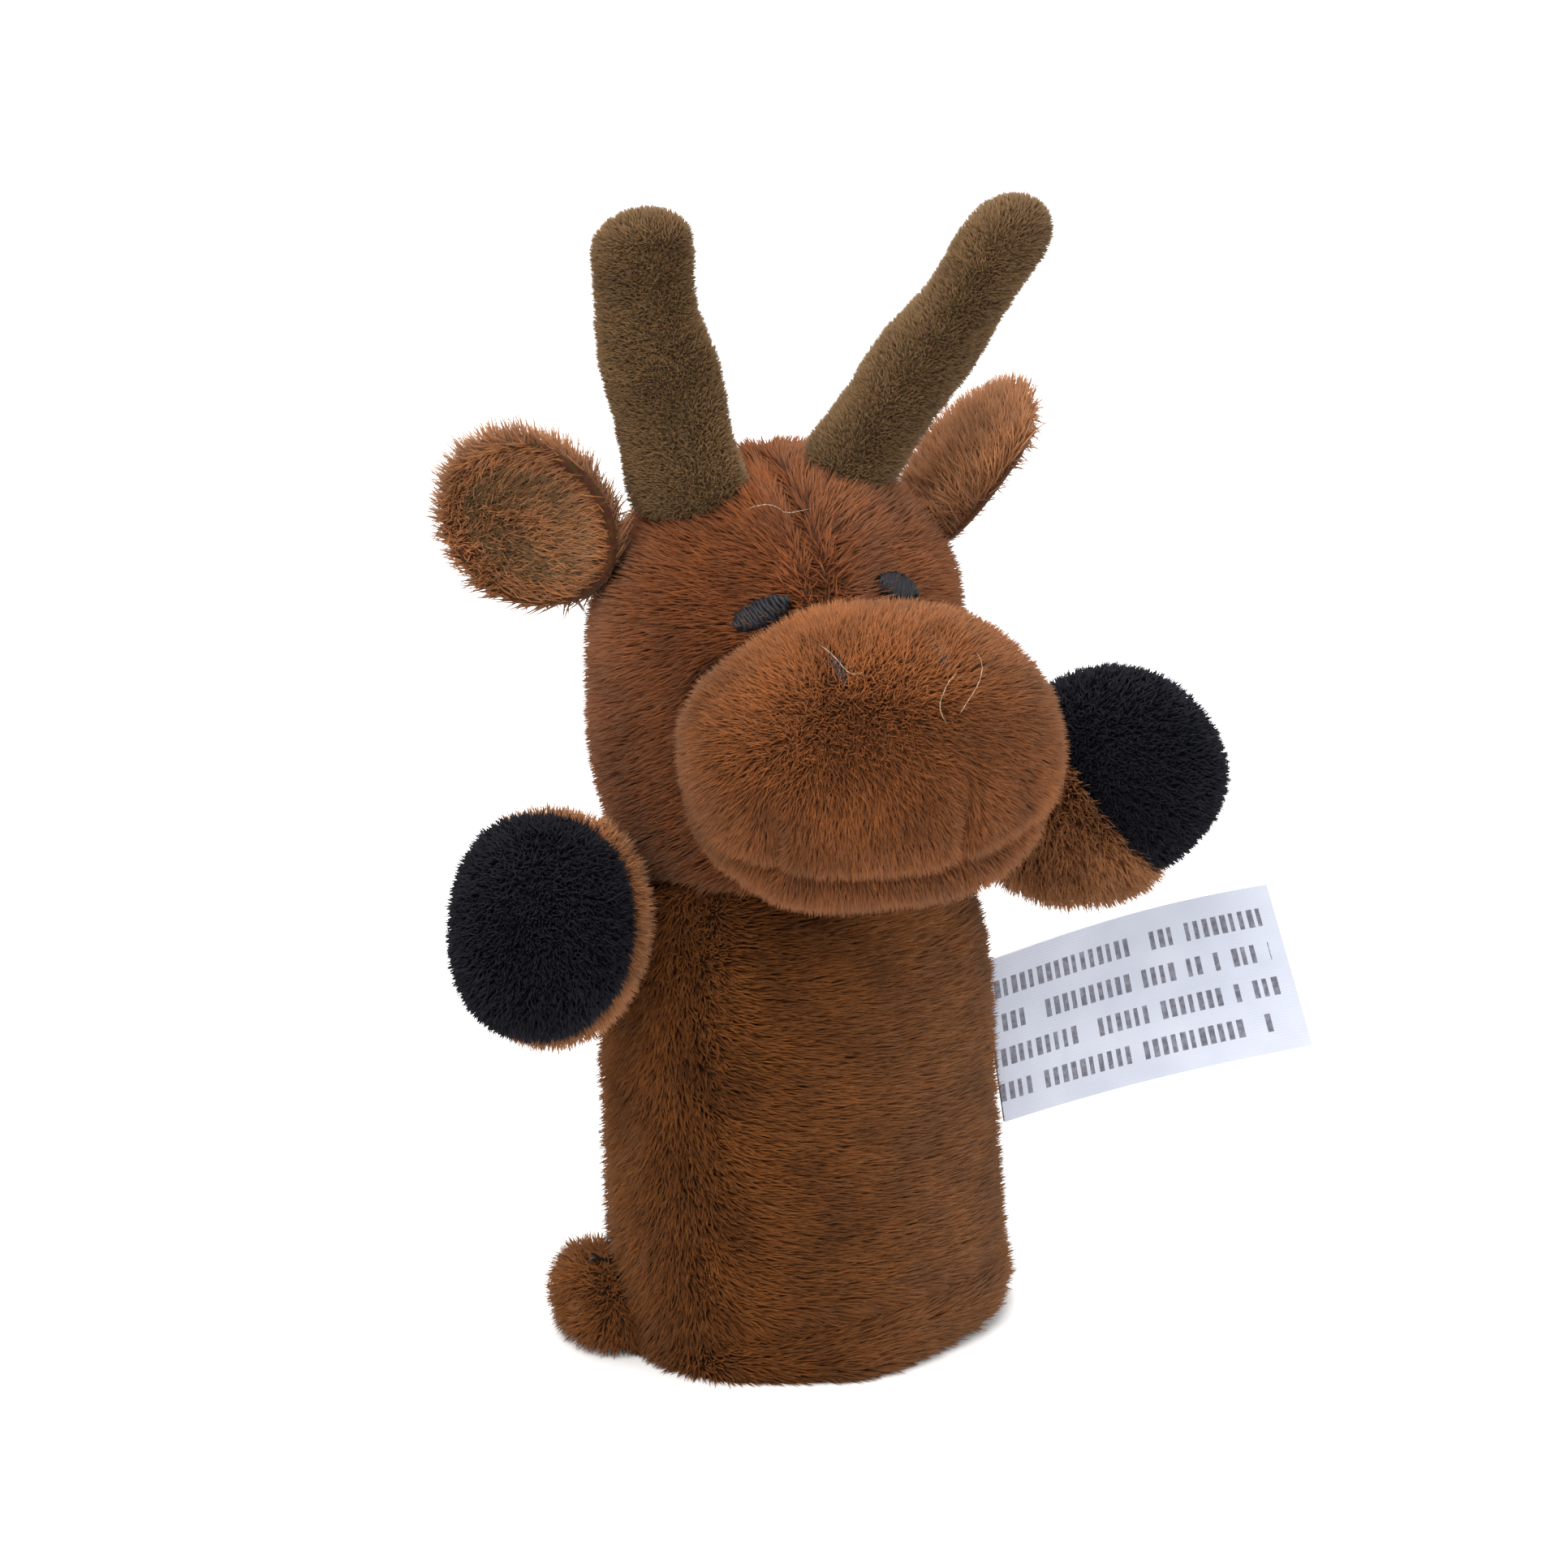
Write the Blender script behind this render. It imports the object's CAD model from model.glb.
# %% [markdown]
# A plush finger puppet of a horned, hoofed animal. The CAD model gives the frame: where
# every piece sits, and how it moves. This script gives the looks. Each panel of the
# puppet becomes a soft skin, and the skin then grows a pile of real little tufts.

# %% Load the frame
import math

import bpy
import bmesh
import numpy as np
from mathutils import Matrix, Vector
from mathutils.bvhtree import BVHTree


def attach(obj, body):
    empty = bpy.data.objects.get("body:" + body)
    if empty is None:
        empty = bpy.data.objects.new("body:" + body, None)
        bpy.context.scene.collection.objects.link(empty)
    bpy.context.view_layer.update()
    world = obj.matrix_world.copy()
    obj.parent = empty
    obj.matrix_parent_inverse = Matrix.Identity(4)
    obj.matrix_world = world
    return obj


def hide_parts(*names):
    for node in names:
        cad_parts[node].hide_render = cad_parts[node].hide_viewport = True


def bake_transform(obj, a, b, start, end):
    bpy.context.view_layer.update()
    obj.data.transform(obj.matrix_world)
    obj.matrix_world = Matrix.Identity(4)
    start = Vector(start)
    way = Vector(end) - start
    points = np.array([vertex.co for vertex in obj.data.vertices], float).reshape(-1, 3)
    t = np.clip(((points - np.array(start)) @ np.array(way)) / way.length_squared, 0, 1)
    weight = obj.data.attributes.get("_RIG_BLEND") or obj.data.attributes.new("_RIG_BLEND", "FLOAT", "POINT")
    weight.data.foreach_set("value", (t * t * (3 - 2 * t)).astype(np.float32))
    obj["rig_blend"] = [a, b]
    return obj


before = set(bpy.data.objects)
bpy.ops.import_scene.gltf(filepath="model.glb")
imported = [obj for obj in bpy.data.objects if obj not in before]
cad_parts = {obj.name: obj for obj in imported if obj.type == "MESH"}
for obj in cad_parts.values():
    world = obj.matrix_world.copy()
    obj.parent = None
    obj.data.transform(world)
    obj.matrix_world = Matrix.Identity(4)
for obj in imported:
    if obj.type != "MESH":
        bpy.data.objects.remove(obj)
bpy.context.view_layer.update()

# %% [markdown]
# The puppet was drawn upright and then slumped sideways about the middle of its hem, as
# soft things do when they stand by themselves. Each piece is modelled the easy way,
# upright and at its own centre, and a matrix carries its mesh to its place. Sizes are in
# millimetres here, and one factor makes them metres.

# %% Sizes and places
mm = 0.001
rng = np.random.default_rng(7)

slump = Matrix.Rotation(math.radians(-3.4), 4, "Y")
mirror_x = Matrix.Scale(-1, 4, (1, 0, 0))

neck_z = 48
hem_w, hem_d = 37, 28.4
wide = hem_w / hem_d
shoulder_z = 0.91 * neck_z
head_w, head_d, head_h = 31.6, 29.2, 31
head_wide = head_w / head_d
crown_h = head_h - 15
dome_z = neck_z + head_h - crown_h
muzzle_size = Vector((32.4, 22, 25.6))
muzzle_at = Vector((0, -(head_d / 2 + 0.2 * muzzle_size.y), neck_z + 0.3 * head_h))
mouth_z = muzzle_at.z - 0.26 * muzzle_size.z
skin_sink = 1.3   # the backing cloth lies this far under the plush's outer surface
cloth_t = 0.8


def turned(x, y, z):
    """The turn that a CAD rotate([x, y, z]) makes."""
    rz = Matrix.Rotation(math.radians(z), 4, "Z")
    ry = Matrix.Rotation(math.radians(y), 4, "Y")
    return rz @ ry @ Matrix.Rotation(math.radians(x), 4, "X")


def moved(x, y, z):
    return Matrix.Translation((x, y, z))


def sleeve_radius(z):
    """Half the sleeve's depth at height z."""
    t = z / neck_z
    closing = max(0, (t - 0.6) / 0.31)
    return hem_d / 2 * (1 - 0.075 * t - 0.19 * closing ** 2.4)


print("sleeve", hem_w, "x", hem_d, "mm at the hem, head", head_w, "mm wide")

# %% [markdown]
# A few helpers stand for what a hand does over and over: clear the selection, make one
# object active, shape its points with a falloff as proportional editing does, finish a
# modifier, and settle a piece in its place with its normals outward.

# %% Helpers
def deselect():
    if bpy.context.mode != "OBJECT":
        bpy.ops.object.mode_set(mode="OBJECT")
    bpy.ops.object.select_all(action="DESELECT")


def pick(piece):
    deselect()
    piece.select_set(True)
    bpy.context.view_layer.objects.active = piece


def start(name):
    """Names the primitive that was just added."""
    piece = bpy.context.object
    piece.name = piece.data.name = name
    return piece


def points_of(piece):
    co = np.zeros(len(piece.data.vertices) * 3, np.float32)
    piece.data.vertices.foreach_get("co", co)
    return co.reshape(-1, 3).astype(float)


def set_points(piece, co):
    piece.data.vertices.foreach_set("co", np.asarray(co, np.float32).ravel())
    piece.data.update()


def sculpt(piece, shape):
    """Moves every point by a rule, as proportional editing would."""
    set_points(piece, shape(points_of(piece)))


def outward(piece):
    pick(piece)
    bpy.ops.object.mode_set(mode="EDIT")
    bpy.ops.mesh.select_all(action="SELECT")
    bpy.ops.mesh.remove_doubles(threshold=1e-6)
    bpy.ops.mesh.normals_make_consistent(inside=False)
    bpy.ops.object.mode_set(mode="OBJECT")


def finish_modifier(piece, kind, **values):
    pick(piece)
    modifier = piece.modifiers.new(kind.title(), kind)
    for key, value in values.items():
        setattr(modifier, key, value)
    bpy.ops.object.modifier_apply(modifier=modifier.name)
    return piece


def place(piece, *steps):
    """Carries the mesh to its place, in metres, with its object at the origin."""
    matrix = Matrix.Scale(mm, 4) @ slump
    for step in steps:
        matrix = matrix @ step
    piece.data.transform(matrix)
    if matrix.determinant() < 0:
        piece.data.flip_normals()
    piece.data.update()
    return piece


def gauss(distance, width):
    return np.exp(-(distance / width) ** 2)


def copy_of(piece, name):
    twin = piece.copy()
    twin.data = piece.data.copy()
    twin.name = twin.data.name = name
    bpy.context.scene.collection.objects.link(twin)
    return twin


def cut(piece, point, normal):
    """Keeps what lies on the side that normal points to."""
    pick(piece)
    bpy.ops.object.mode_set(mode="EDIT")
    bpy.ops.mesh.select_all(action="SELECT")
    bpy.ops.mesh.bisect(plane_co=point, plane_no=normal, clear_inner=True)
    bpy.ops.object.mode_set(mode="OBJECT")
    return piece


def surface_of(piece):
    """A searchable copy of a piece's surface, to lay stitches on later."""
    return BVHTree.FromPolygons([v.co.copy() for v in piece.data.vertices],
                                [tuple(f.vertices) for f in piece.data.polygons])


def on_surface(surface, x, z, proud):
    """The point in front at upright x and z, proud mm outside the surface, and the normal."""
    source = slump @ Vector((x, -60, z)) * mm
    hit, normal, _, _ = surface.ray_cast(source, Vector((0, 1, 0)))
    return np.array(hit + normal * proud * mm), np.array(normal)


def remove(*pieces):
    for piece in pieces:
        bpy.data.objects.remove(piece)


def up(v):
    """A direction on the upright puppet, as it is after the slump."""
    return np.asarray(slump.to_3x3() @ Vector(v))


print("helpers ready")

# %% [markdown]
# Lumpy noise is wanted in many places: no hand-stuffed toy is smooth. A sum of a few sine
# waves with fixed random directions gives the same soft lumps on every run.

# %% Soft lumps
def lumps(co, size, seed):
    """A smooth value about -1 to 1 for each point, with lumps about size across."""
    local = np.random.default_rng(seed)
    total = np.zeros(len(co))
    for _ in range(6):
        direction = local.normal(size=3)
        direction *= 2.2 / (size * np.linalg.norm(direction)) * local.uniform(0.6, 1.4)
        total += np.sin(co @ direction + local.uniform(0, 6.28))
    return total / 3


print("lumps ready")

# %% [markdown]
# ## Camera, floor and light
# The puppet stands on a pale floor that runs on to a pale wall of light. The camera looks
# a little down on it from its right, with a long lens, as for a small object on a table.

# %% Camera
view_turn, view_rise = math.radians(-20), math.radians(18)
view_distance = 0.42
look_at = Vector((-2.5, 0.92, 49.0)) * mm
field = 0.1323  # width of the view at the puppet
away = Vector((math.sin(view_turn) * math.cos(view_rise),
               -math.cos(view_turn) * math.cos(view_rise), math.sin(view_rise)))
bpy.ops.object.camera_add(location=look_at + away * view_distance)
camera = start("camera")
camera.rotation_euler = (-away).to_track_quat("-Z", "Y").to_euler()
camera.data.sensor_width = 36
camera.data.lens = 36 * view_distance / field
camera.data.clip_start = 0.01
bpy.context.scene.camera = camera
print("lens", round(camera.data.lens), "mm")

# %% Floor
bpy.ops.mesh.primitive_plane_add(size=6, location=(0, 0, 0))
floor = start("floor")
paper = bpy.data.materials.new("floor_paper")
paper.use_nodes = True
paper_shader = paper.node_tree.nodes["Principled BSDF"]
paper_shader.inputs["Base Color"].default_value = (0.86, 0.86, 0.86, 1)
paper_shader.inputs["Roughness"].default_value = 0.9
paper_shader.inputs["Specular IOR Level"].default_value = 0.1
floor.data.materials.append(paper)
print("floor laid")

# %% Lights
def soft_light(name, at, size, power, colour=(1, 1, 1)):
    """A square light panel that faces the puppet."""
    bpy.ops.object.light_add(type="AREA", location=at)
    light = start(name)
    light.data.size = size
    light.data.energy = power
    light.data.color = colour
    light.rotation_euler = (look_at - Vector(at)).to_track_quat("-Z", "Y").to_euler()
    return light


soft_light("key_light", (-0.35, -0.45, 0.60), 0.45, 7.0, (1, 0.985, 0.96))
soft_light("fill_light", (0.55, -0.45, 0.30), 0.6, 2.2, (0.96, 0.98, 1))
soft_light("top_light", (0.05, 0.10, 0.75), 0.5, 4.0)
soft_light("back_light", (0.25, 0.60, 0.40), 0.5, 3.0)
world = bpy.data.worlds.new("studio")
world.use_nodes = True
world.node_tree.nodes["Background"].inputs["Color"].default_value = (1, 1, 1, 1)
world.node_tree.nodes["Background"].inputs["Strength"].default_value = 0.80
bpy.context.scene.world = world
bpy.context.scene.view_settings.view_transform = "Standard"
print("lights set")

# %% [markdown]
# ## Materials
# Plush is a knitted backing with thousands of fine fibres. The tufts below are real
# geometry, so their material needs only colour: darker at the root, where light can't
# reach, paler at the worn tip, and a little different from tuft to tuft and from place to
# place. The velvety glow at a grazing angle is the shader's own sheen.

# %% Node helpers
def new_material(name, rough, sheen, tint, specular=0.25):
    material = bpy.data.materials.new(name)
    material.use_nodes = True
    shader = material.node_tree.nodes["Principled BSDF"]
    shader.inputs["Roughness"].default_value = rough
    shader.inputs["Specular IOR Level"].default_value = specular
    shader.inputs["Sheen Weight"].default_value = sheen
    shader.inputs["Sheen Roughness"].default_value = 0.45
    shader.inputs["Sheen Tint"].default_value = (*tint, 1)
    return material, shader


def add(material, kind, links=(), **values):
    """Adds a node; links are (socket, source socket), values set its properties."""
    node = material.node_tree.nodes.new(kind)
    for key, value in values.items():
        setattr(node, key, value)
    for socket, source in links:
        target = node.inputs[socket]
        if isinstance(source, bpy.types.NodeSocket):
            material.node_tree.links.new(source, target)
        else:
            target.default_value = source
    return node


def mixed(material, kind, factor, a, b):
    """Mixes two colours; returns the result socket."""
    node = add(material, "ShaderNodeMix", data_type="RGBA", blend_type=kind)
    for socket, source in ((0, factor), (6, a), (7, b)):
        if isinstance(source, bpy.types.NodeSocket):
            material.node_tree.links.new(source, node.inputs[socket])
        else:
            node.inputs[socket].default_value = source
    return node.outputs[2]


def noise(material, coordinates, size, detail=3.0, rough=0.6, distortion=0.0):
    """Noise whose blotches are about size metres across."""
    return add(material, "ShaderNodeTexNoise",
               [("Vector", coordinates), ("Scale", 1 / size), ("Detail", detail),
                ("Roughness", rough), ("Distortion", distortion)])


def spread_of(material, socket, low, high, to_low=0.0, to_high=1.0):
    return add(material, "ShaderNodeMapRange",
               [("Value", socket), ("From Min", low), ("From Max", high),
                ("To Min", to_low), ("To Max", to_high)]).outputs[0]


def bump(material, shader, height, distance, strength=0.6):
    node = add(material, "ShaderNodeBump",
               [("Height", height), ("Distance", distance), ("Strength", strength)])
    material.node_tree.links.new(node.outputs[0], shader.inputs["Normal"])


print("node helpers ready")

# %% Pile and cloth materials
def pile_material(name, root, body, tip, sheen, tint, patch=0.42):
    """Colour of one kind of tuft, from root to tip."""
    material, shader = new_material(name, 0.75, sheen, tint, 0.12)
    place_ = add(material, "ShaderNodeTexCoord").outputs["Object"]
    along = add(material, "ShaderNodeAttribute", attribute_name="tip").outputs["Fac"]
    each = add(material, "ShaderNodeAttribute", attribute_name="strand").outputs["Fac"]
    low = mixed(material, "MIX", spread_of(material, along, 0.0, 0.55), (*root, 1), (*body, 1))
    colour = mixed(material, "MIX", spread_of(material, along, 0.45, 1.0), low, (*tip, 1))
    blotch = noise(material, place_, 6 * mm, 4).outputs["Fac"]
    shade = spread_of(material, blotch, 0.3, 0.7, 1 - patch, 1 + 0.4 * patch)
    colour = mixed(material, "MULTIPLY", 1.0, colour,
                   add(material, "ShaderNodeCombineColor",
                       [("Red", shade), ("Green", shade), ("Blue", shade)]).outputs[0])
    single = spread_of(material, each, 0.0, 1.0, 0.72, 1.22)
    colour = mixed(material, "MULTIPLY", 1.0, colour,
                   add(material, "ShaderNodeCombineColor",
                       [("Red", single), ("Green", single), ("Blue", single)]).outputs[0])
    material.node_tree.links.new(colour, shader.inputs["Base Color"])
    return material


def cloth_material(name, colour, dark, sheen, tint, thread=0.35):
    """The knitted backing under the pile, seen where the pile parts."""
    material, shader = new_material(name, 0.9, sheen, tint, 0.1)
    place_ = add(material, "ShaderNodeTexCoord").outputs["Object"]
    knit = add(material, "ShaderNodeTexVoronoi",
               [("Vector", place_), ("Scale", 1 / (thread * mm))])
    patchy = noise(material, place_, 3 * mm, 4).outputs["Fac"]
    tone = mixed(material, "MIX", spread_of(material, patchy, 0.35, 0.65), (*dark, 1), (*colour, 1))
    tone = mixed(material, "MULTIPLY", 0.5, tone, knit.outputs["Color"])
    material.node_tree.links.new(tone, shader.inputs["Base Color"])
    bump(material, shader, knit.outputs["Distance"], 0.12 * mm)
    return material


brown_pile = pile_material("plush_brown_pile", (0.058, 0.019, 0.004), (0.128, 0.040, 0.008),
                           (0.215, 0.074, 0.017), 0.12, (1.0, 0.62, 0.38))
red_pile = pile_material("plush_head_pile", (0.064, 0.018, 0.005), (0.155, 0.042, 0.011),
                         (0.262, 0.080, 0.022), 0.12, (1.0, 0.60, 0.38))
muzzle_pile = pile_material("plush_muzzle_pile", (0.080, 0.024, 0.006), (0.178, 0.053, 0.013),
                            (0.300, 0.102, 0.030), 0.10, (1.0, 0.66, 0.44), 0.45)
fluff_pile = pile_material("plush_fluff_pile", (0.085, 0.029, 0.009), (0.200, 0.072, 0.023),
                           (0.420, 0.180, 0.075), 0.18, (1.0, 0.66, 0.44))
black_pile = pile_material("plush_black_pile", (0.003, 0.003, 0.005), (0.006, 0.006, 0.010),
                           (0.009, 0.009, 0.014), 0.03, (0.7, 0.75, 1.0), 0.5)
velour_pile = pile_material("velour_pile", (0.048, 0.026, 0.010), (0.112, 0.060, 0.024),
                            (0.200, 0.116, 0.052), 0.12, (1.0, 0.85, 0.62), 0.3)
brown_cloth = cloth_material("plush_brown_backing", (0.070, 0.024, 0.008), (0.042, 0.015, 0.005),
                             0.1, (1.0, 0.6, 0.4))
muzzle_cloth = cloth_material("plush_muzzle_backing", (0.140, 0.052, 0.018), (0.085, 0.031, 0.011),
                              0.1, (1.0, 0.6, 0.4))
black_cloth = cloth_material("plush_black_backing", (0.005, 0.005, 0.008), (0.002, 0.002, 0.003),
                             0.05, (0.7, 0.75, 1.0))
velour_cloth = cloth_material("velour_backing", (0.085, 0.052, 0.024), (0.055, 0.034, 0.015),
                              0.1, (1.0, 0.85, 0.62), 0.25)
filling = cloth_material("fibre_filling", (0.80, 0.79, 0.76), (0.62, 0.61, 0.58),
                         0.3, (1.0, 1.0, 1.0), 0.9)
print(len(bpy.data.materials), "materials")

# %% [markdown]
# ## Tufts
# A tuft is modelled once and planted many times, so it has as few faces as it can. The
# straight one is a fine three-sided point that leans towards +X. The curly one, for the
# hooves, is a stalk that bends over on its way up. Their points carry the value tip, 0 at
# the root and 1 at the end, for the colour.

# %% Model the tufts
def make_tuft(name, lean, middle, middle_width):
    deselect()
    bpy.ops.mesh.primitive_cone_add(vertices=3, radius1=0.5, radius2=0.5 * middle_width,
                                    depth=middle, location=(0, 0, middle / 2))
    tuft = start(name)
    bpy.ops.object.transform_apply(location=True, rotation=True, scale=True)
    bpy.ops.object.mode_set(mode="EDIT")
    bpy.ops.mesh.select_all(action="DESELECT")
    bpy.ops.object.mode_set(mode="OBJECT")
    for vertex in tuft.data.vertices:
        vertex.select = vertex.co.z > middle - 1e-4
    for polygon in tuft.data.polygons:
        polygon.select = polygon.center.z > middle - 1e-4
    bpy.ops.object.mode_set(mode="EDIT")
    bpy.ops.transform.translate(value=(0.22 * lean, 0, 0))
    bpy.ops.mesh.extrude_region_move(
        TRANSFORM_OT_translate={"value": (0.78 * lean, 0, 1 - middle)})
    bpy.ops.mesh.merge(type="CENTER")
    bpy.ops.object.mode_set(mode="OBJECT")
    outward(tuft)
    tip = tuft.data.attributes.new("tip", "FLOAT", "POINT")
    tip.data.foreach_set("value", np.clip(points_of(tuft)[:, 2], 0, 1))
    tuft.hide_render = True
    return tuft


def make_point(name, lean):
    deselect()
    bpy.ops.mesh.primitive_cone_add(vertices=3, radius1=0.5, radius2=0, depth=1,
                                    end_fill_type="NOTHING", location=(0, 0, 0.5))
    tuft = start(name)
    bpy.ops.object.transform_apply(location=True, rotation=True, scale=True)
    sculpt(tuft, lambda co: co + np.c_[lean * co[:, 2], 0 * co[:, 1:]])
    tip = tuft.data.attributes.new("tip", "FLOAT", "POINT")
    tip.data.foreach_set("value", np.clip(points_of(tuft)[:, 2], 0, 1))
    tuft.hide_render = True
    return tuft


straight_tuft = make_point("tuft_straight", 0.25)
curly_tuft = make_tuft("tuft_curly", 0.75, 0.45, 0.95)
print("faces in one tuft:", len(straight_tuft.data.polygons))

# %% [markdown]
# A Geometry Nodes tree plants the tufts. It scatters points over a skin, turns each tuft
# from straight out towards the way the pile is brushed, ruffles that with a little
# disorder and with broader clumps, varies the length, and makes the copies real. The skin
# carries two attributes that a brush would leave: comb, the way the pile lies and how
# strongly, and pile, how long it is there. The modifier is applied, so a piece of pile is
# a plain mesh with nothing live on it.

# %% Plant a pile
def brush(skin, comb, length=None):
    """Writes the comb and pile attributes from rules on the skin's points."""
    co = points_of(skin)
    mesh = skin.data
    field_ = mesh.attributes.new("comb", "FLOAT_VECTOR", "POINT")
    field_.data.foreach_set("vector", np.asarray(comb(co), np.float32).ravel())
    long_ = mesh.attributes.new("pile", "FLOAT", "POINT")
    values = np.ones(len(co)) if length is None else length(co)
    long_.data.foreach_set("value", np.asarray(values, np.float32))


def pile_tree(tuft, density, length, width, ruffle, clump, clump_size, seed):
    tree = bpy.data.node_groups.new("plant_pile", "GeometryNodeTree")
    tree.interface.new_socket("Geometry", in_out="INPUT", socket_type="NodeSocketGeometry")
    tree.interface.new_socket("Geometry", in_out="OUTPUT", socket_type="NodeSocketGeometry")

    def node(kind, links=(), **values):
        made = tree.nodes.new(kind)
        for key, value in values.items():
            setattr(made, key, value)
        for socket, source in links:
            target = made.inputs[socket]
            if isinstance(source, bpy.types.NodeSocket):
                tree.links.new(source, target)
            else:
                target.default_value = source
        return made

    def vector(operation, a, b, scale=None):
        made = node("ShaderNodeVectorMath", [(0, a), (1, b)], operation=operation)
        if scale is not None:
            made.inputs["Scale"].default_value = scale
        return made.outputs[0]

    def random(low, high, shift):
        made = node("FunctionNodeRandomValue",
                    [("Min", low), ("Max", high), ("Seed", seed + shift)],
                    data_type="FLOAT_VECTOR" if hasattr(low, "__len__") else "FLOAT")
        return next(o for o in made.outputs if o.enabled)

    skin = node("NodeGroupInput").outputs[0]
    scatter = node("GeometryNodeDistributePointsOnFaces",
                   [("Mesh", skin), ("Density", density), ("Seed", seed)])
    comb = node("GeometryNodeInputNamedAttribute", [("Name", "comb")],
                data_type="FLOAT_VECTOR").outputs["Attribute"]
    pile = node("GeometryNodeInputNamedAttribute", [("Name", "pile")],
                data_type="FLOAT").outputs["Attribute"]
    position = node("GeometryNodeInputPosition").outputs[0]
    broad = node("ShaderNodeTexNoise",
                 [("Vector", position), ("Scale", 1 / (clump_size * mm)), ("Detail", 1.0)])
    broad = vector("SUBTRACT", broad.outputs["Color"], (0.5, 0.5, 0.5))
    # keep the points' own values: normal, comb and the disorder, before they are instanced
    way = vector("ADD", scatter.outputs["Normal"], comb)
    way = vector("ADD", way, vector("SCALE", broad, (0, 0, 0), 2 * clump))
    way = vector("ADD", way, random((-ruffle,) * 3, (ruffle,) * 3, 1))
    stand = node("FunctionNodeAlignRotationToVector", [("Vector", way)], axis="Z")
    lean = vector("ADD", comb, random((-0.5,) * 3, (0.5,) * 3, 2))
    turn = node("FunctionNodeAlignRotationToVector",
                [("Rotation", stand.outputs[0]), ("Vector", lean)],
                axis="X", pivot_axis="Z")
    tall = node("ShaderNodeMath", [(0, random(0.7, 1.15, 3)), (1, pile)], operation="MULTIPLY")
    size = node("ShaderNodeCombineXYZ",
                [("X", tall.outputs[0]), ("Y", tall.outputs[0]), ("Z", tall.outputs[0])])
    size = vector("MULTIPLY", size.outputs[0], (width * mm, width * mm, length * mm))
    model = node("GeometryNodeObjectInfo", [("Object", tuft)])
    keep = node("FunctionNodeCompare", [("A", pile), ("B", 0.04)],
                data_type="FLOAT", operation="GREATER_THAN")
    copies = node("GeometryNodeInstanceOnPoints",
                  [("Points", scatter.outputs["Points"]), ("Selection", keep.outputs[0]),
                   ("Instance", model.outputs["Geometry"]),
                   ("Rotation", turn.outputs[0]), ("Scale", size)])
    named = node("GeometryNodeStoreNamedAttribute",
                 [("Geometry", copies.outputs[0]), ("Name", "strand"),
                  ("Value", random(0.0, 1.0, 4))],
                 data_type="FLOAT", domain="INSTANCE")
    real = node("GeometryNodeRealizeInstances", [("Geometry", named.outputs[0])])
    smooth = node("GeometryNodeSetShadeSmooth", [("Geometry", real.outputs[0])])
    node("NodeGroupOutput", [(0, smooth.outputs[0])])
    return tree


seeds = iter(range(11, 999, 7))
tuft_count = {}


def plant(skin, name, material, density, length, width, ruffle=0.35, clump=0.5,
          clump_size=2.0, tuft=None):
    """A piece of pile that stands on skin. density is tufts in a square millimetre."""
    pile = copy_of(skin, name)
    pile.data.materials.clear()
    pick(pile)
    modifier = pile.modifiers.new("Pile", "NODES")
    modifier.node_group = pile_tree(tuft or straight_tuft, density * 1e6, length, width,
                                    ruffle, clump, clump_size, next(seeds))
    bpy.ops.object.modifier_apply(modifier=modifier.name)
    pile.data.materials.clear()
    pile.data.materials.append(material)
    for attribute in [a.name for a in pile.data.attributes if a.name in ("comb", "pile")]:
        pile.data.attributes.remove(pile.data.attributes[attribute])
    # tufts at the hem lie on the floor and not below it
    set_points(pile, np.maximum(points_of(pile), [-1, -1, 0]))
    tuft_count[name] = len(pile.data.polygons)
    print(name, len(pile.data.polygons), "faces")
    return pile


def backing(skin, material, thickness=cloth_t):
    """Gives the skin its cloth thickness, inwards, and its material."""
    skin.data.materials.clear()
    skin.data.materials.append(material)
    finish_modifier(skin, "SOLIDIFY", thickness=thickness * mm, offset=-1, use_even_offset=False)
    pick(skin)
    bpy.ops.object.shade_smooth()
    return skin


print("pile planter ready")

# %% [markdown]
# ## Stuffed forms
# A stuffed piece is sewn flat and swells as the filling goes in, held back where it is
# sewn. Blender's cloth does the same: air pressure swells the form, and pinned points
# hold the seams. The solver likes things of hand size, so the form, drawn in
# millimetres, is simulated as if a millimetre were a centimetre.

# %% Swell a form
def swell(piece, held, pressure=4.0, most=0.9):
    """Inflates a closed form; held gives 1 at sewn points and 0 where cloth is free."""
    before = points_of(piece)
    pinned = held(before)
    group = piece.vertex_groups.new(name="sewn")
    for index, weight in enumerate(pinned):
        if weight > 0.02:
            group.add([index], float(min(weight, 1)), "REPLACE")
    piece.data.transform(Matrix.Scale(0.01, 4))
    pick(piece)
    modifier = piece.modifiers.new("Cloth", "CLOTH")
    settings = modifier.settings
    settings.quality = 5
    settings.mass = 0.15
    settings.tension_stiffness = settings.compression_stiffness = 12
    settings.shear_stiffness = 4
    settings.bending_stiffness = 0.3
    settings.use_pressure = True
    settings.uniform_pressure_force = pressure
    settings.vertex_group_mass = "sewn"
    settings.effector_weights.gravity = 0
    modifier.collision_settings.use_collision = False
    scene = bpy.context.scene
    modifier.point_cache.frame_start, modifier.point_cache.frame_end = 1, 12
    for step in range(1, 13):
        scene.frame_set(step)
    bpy.ops.object.modifier_apply(modifier=modifier.name)
    piece.data.transform(Matrix.Scale(100, 4))
    piece.vertex_groups.clear()
    after = points_of(piece)
    move = after - before
    far = np.linalg.norm(move, axis=1, keepdims=True)
    set_points(piece, before + move * np.minimum(1, most / np.maximum(far, 1e-6)))
    scene.frame_set(1)
    print(piece.name, "swelled by up to", round(float(far.max()), 2), "mm, kept to", most)
    return piece


print("cloth ready")

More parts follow.
